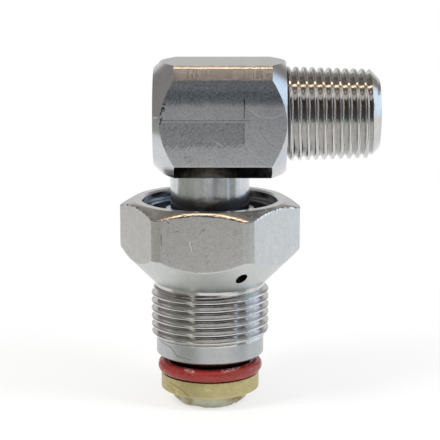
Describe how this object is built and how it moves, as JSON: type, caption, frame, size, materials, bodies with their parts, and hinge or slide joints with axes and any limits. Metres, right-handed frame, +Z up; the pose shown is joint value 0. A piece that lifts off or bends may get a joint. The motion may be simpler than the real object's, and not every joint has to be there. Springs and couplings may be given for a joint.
{
  "type": "hydraulic swivel joint",
  "caption": "Right-angle hydraulic swivel joint: square elbow block with a taper-threaded side nipple, turning on a ball bearing in a hexagon body with a port thread, brass gland and O-ring.",
  "frame": {"origin": "on the swivel axis, at the port thread's first full turn under the neck", "axes": "+Z up the swivel axis from the nose to the elbow block; +X along the side nipple, away from the block; -Y towards a viewer with the nipple on the right"},
  "size_m": [0.0572, 0.0374, 0.077],
  "materials": {
    "body_stainless": "turned and milled, scuffed",
    "block_stainless": "milled and turned",
    "spindle_stainless": "fine turned",
    "bearing_steel": "ground",
    "ball_steel": "polished",
    "cage_nylon": "moulded",
    "shield_steel": "pressed sheet",
    "spring_steel": "phosphated",
    "copper": "annealed copper",
    "guide_strip": "bronze-filled",
    "brass": "turned, dulled",
    "seal_rubber": "moulded",
    "backup_plastic": "turned",
    "red_rubber": "smooth, oiled",
    "amber_polyurethane": "translucent, greasy"
  },
  "bodies": {
    "housing": {"hex_body": "body_stainless", "bearing_outer_ring": "bearing_steel", "bearing_shield_upper": "shield_steel", "bearing_shield_lower": "shield_steel", "housing_circlip": "spring_steel", "guide_ring": "guide_strip", "gland_bush": "brass", "rod_seal": "seal_rubber", "backup_ring": "backup_plastic", "port_o_ring": "red_rubber", "nose_seal": "amber_polyurethane"},
    "elbow": {"elbow_block": "block_stainless", "spindle": "spindle_stainless", "stem_washer": "copper", "bearing_inner_ring": "bearing_steel", "spindle_circlip": "spring_steel"},
    "ball_cage": {"bearing_cage": "cage_nylon", "ball_01": "ball_steel", "ball_02": "ball_steel", "ball_03": "ball_steel", "ball_04": "ball_steel", "ball_05": "ball_steel", "ball_06": "ball_steel", "ball_07": "ball_steel", "ball_08": "ball_steel", "ball_09": "ball_steel", "ball_10": "ball_steel"}
  },
  "joints": [
    {"name": "swivel", "type": "hinge", "parent": "housing", "child": "elbow", "pos_m": [0, 0, 0.01345], "axis": [0, 0, 1], "continuous": true},
    {"name": "cage_orbit", "type": "hinge", "parent": "housing", "child": "ball_cage", "pos_m": [0, 0, 0.01345], "axis": [0, 0, 1], "continuous": true}
  ],
  "couplings": [
    {"joint": "cage_orbit", "follows": "swivel", "ratio": 0.4156}
  ]
}
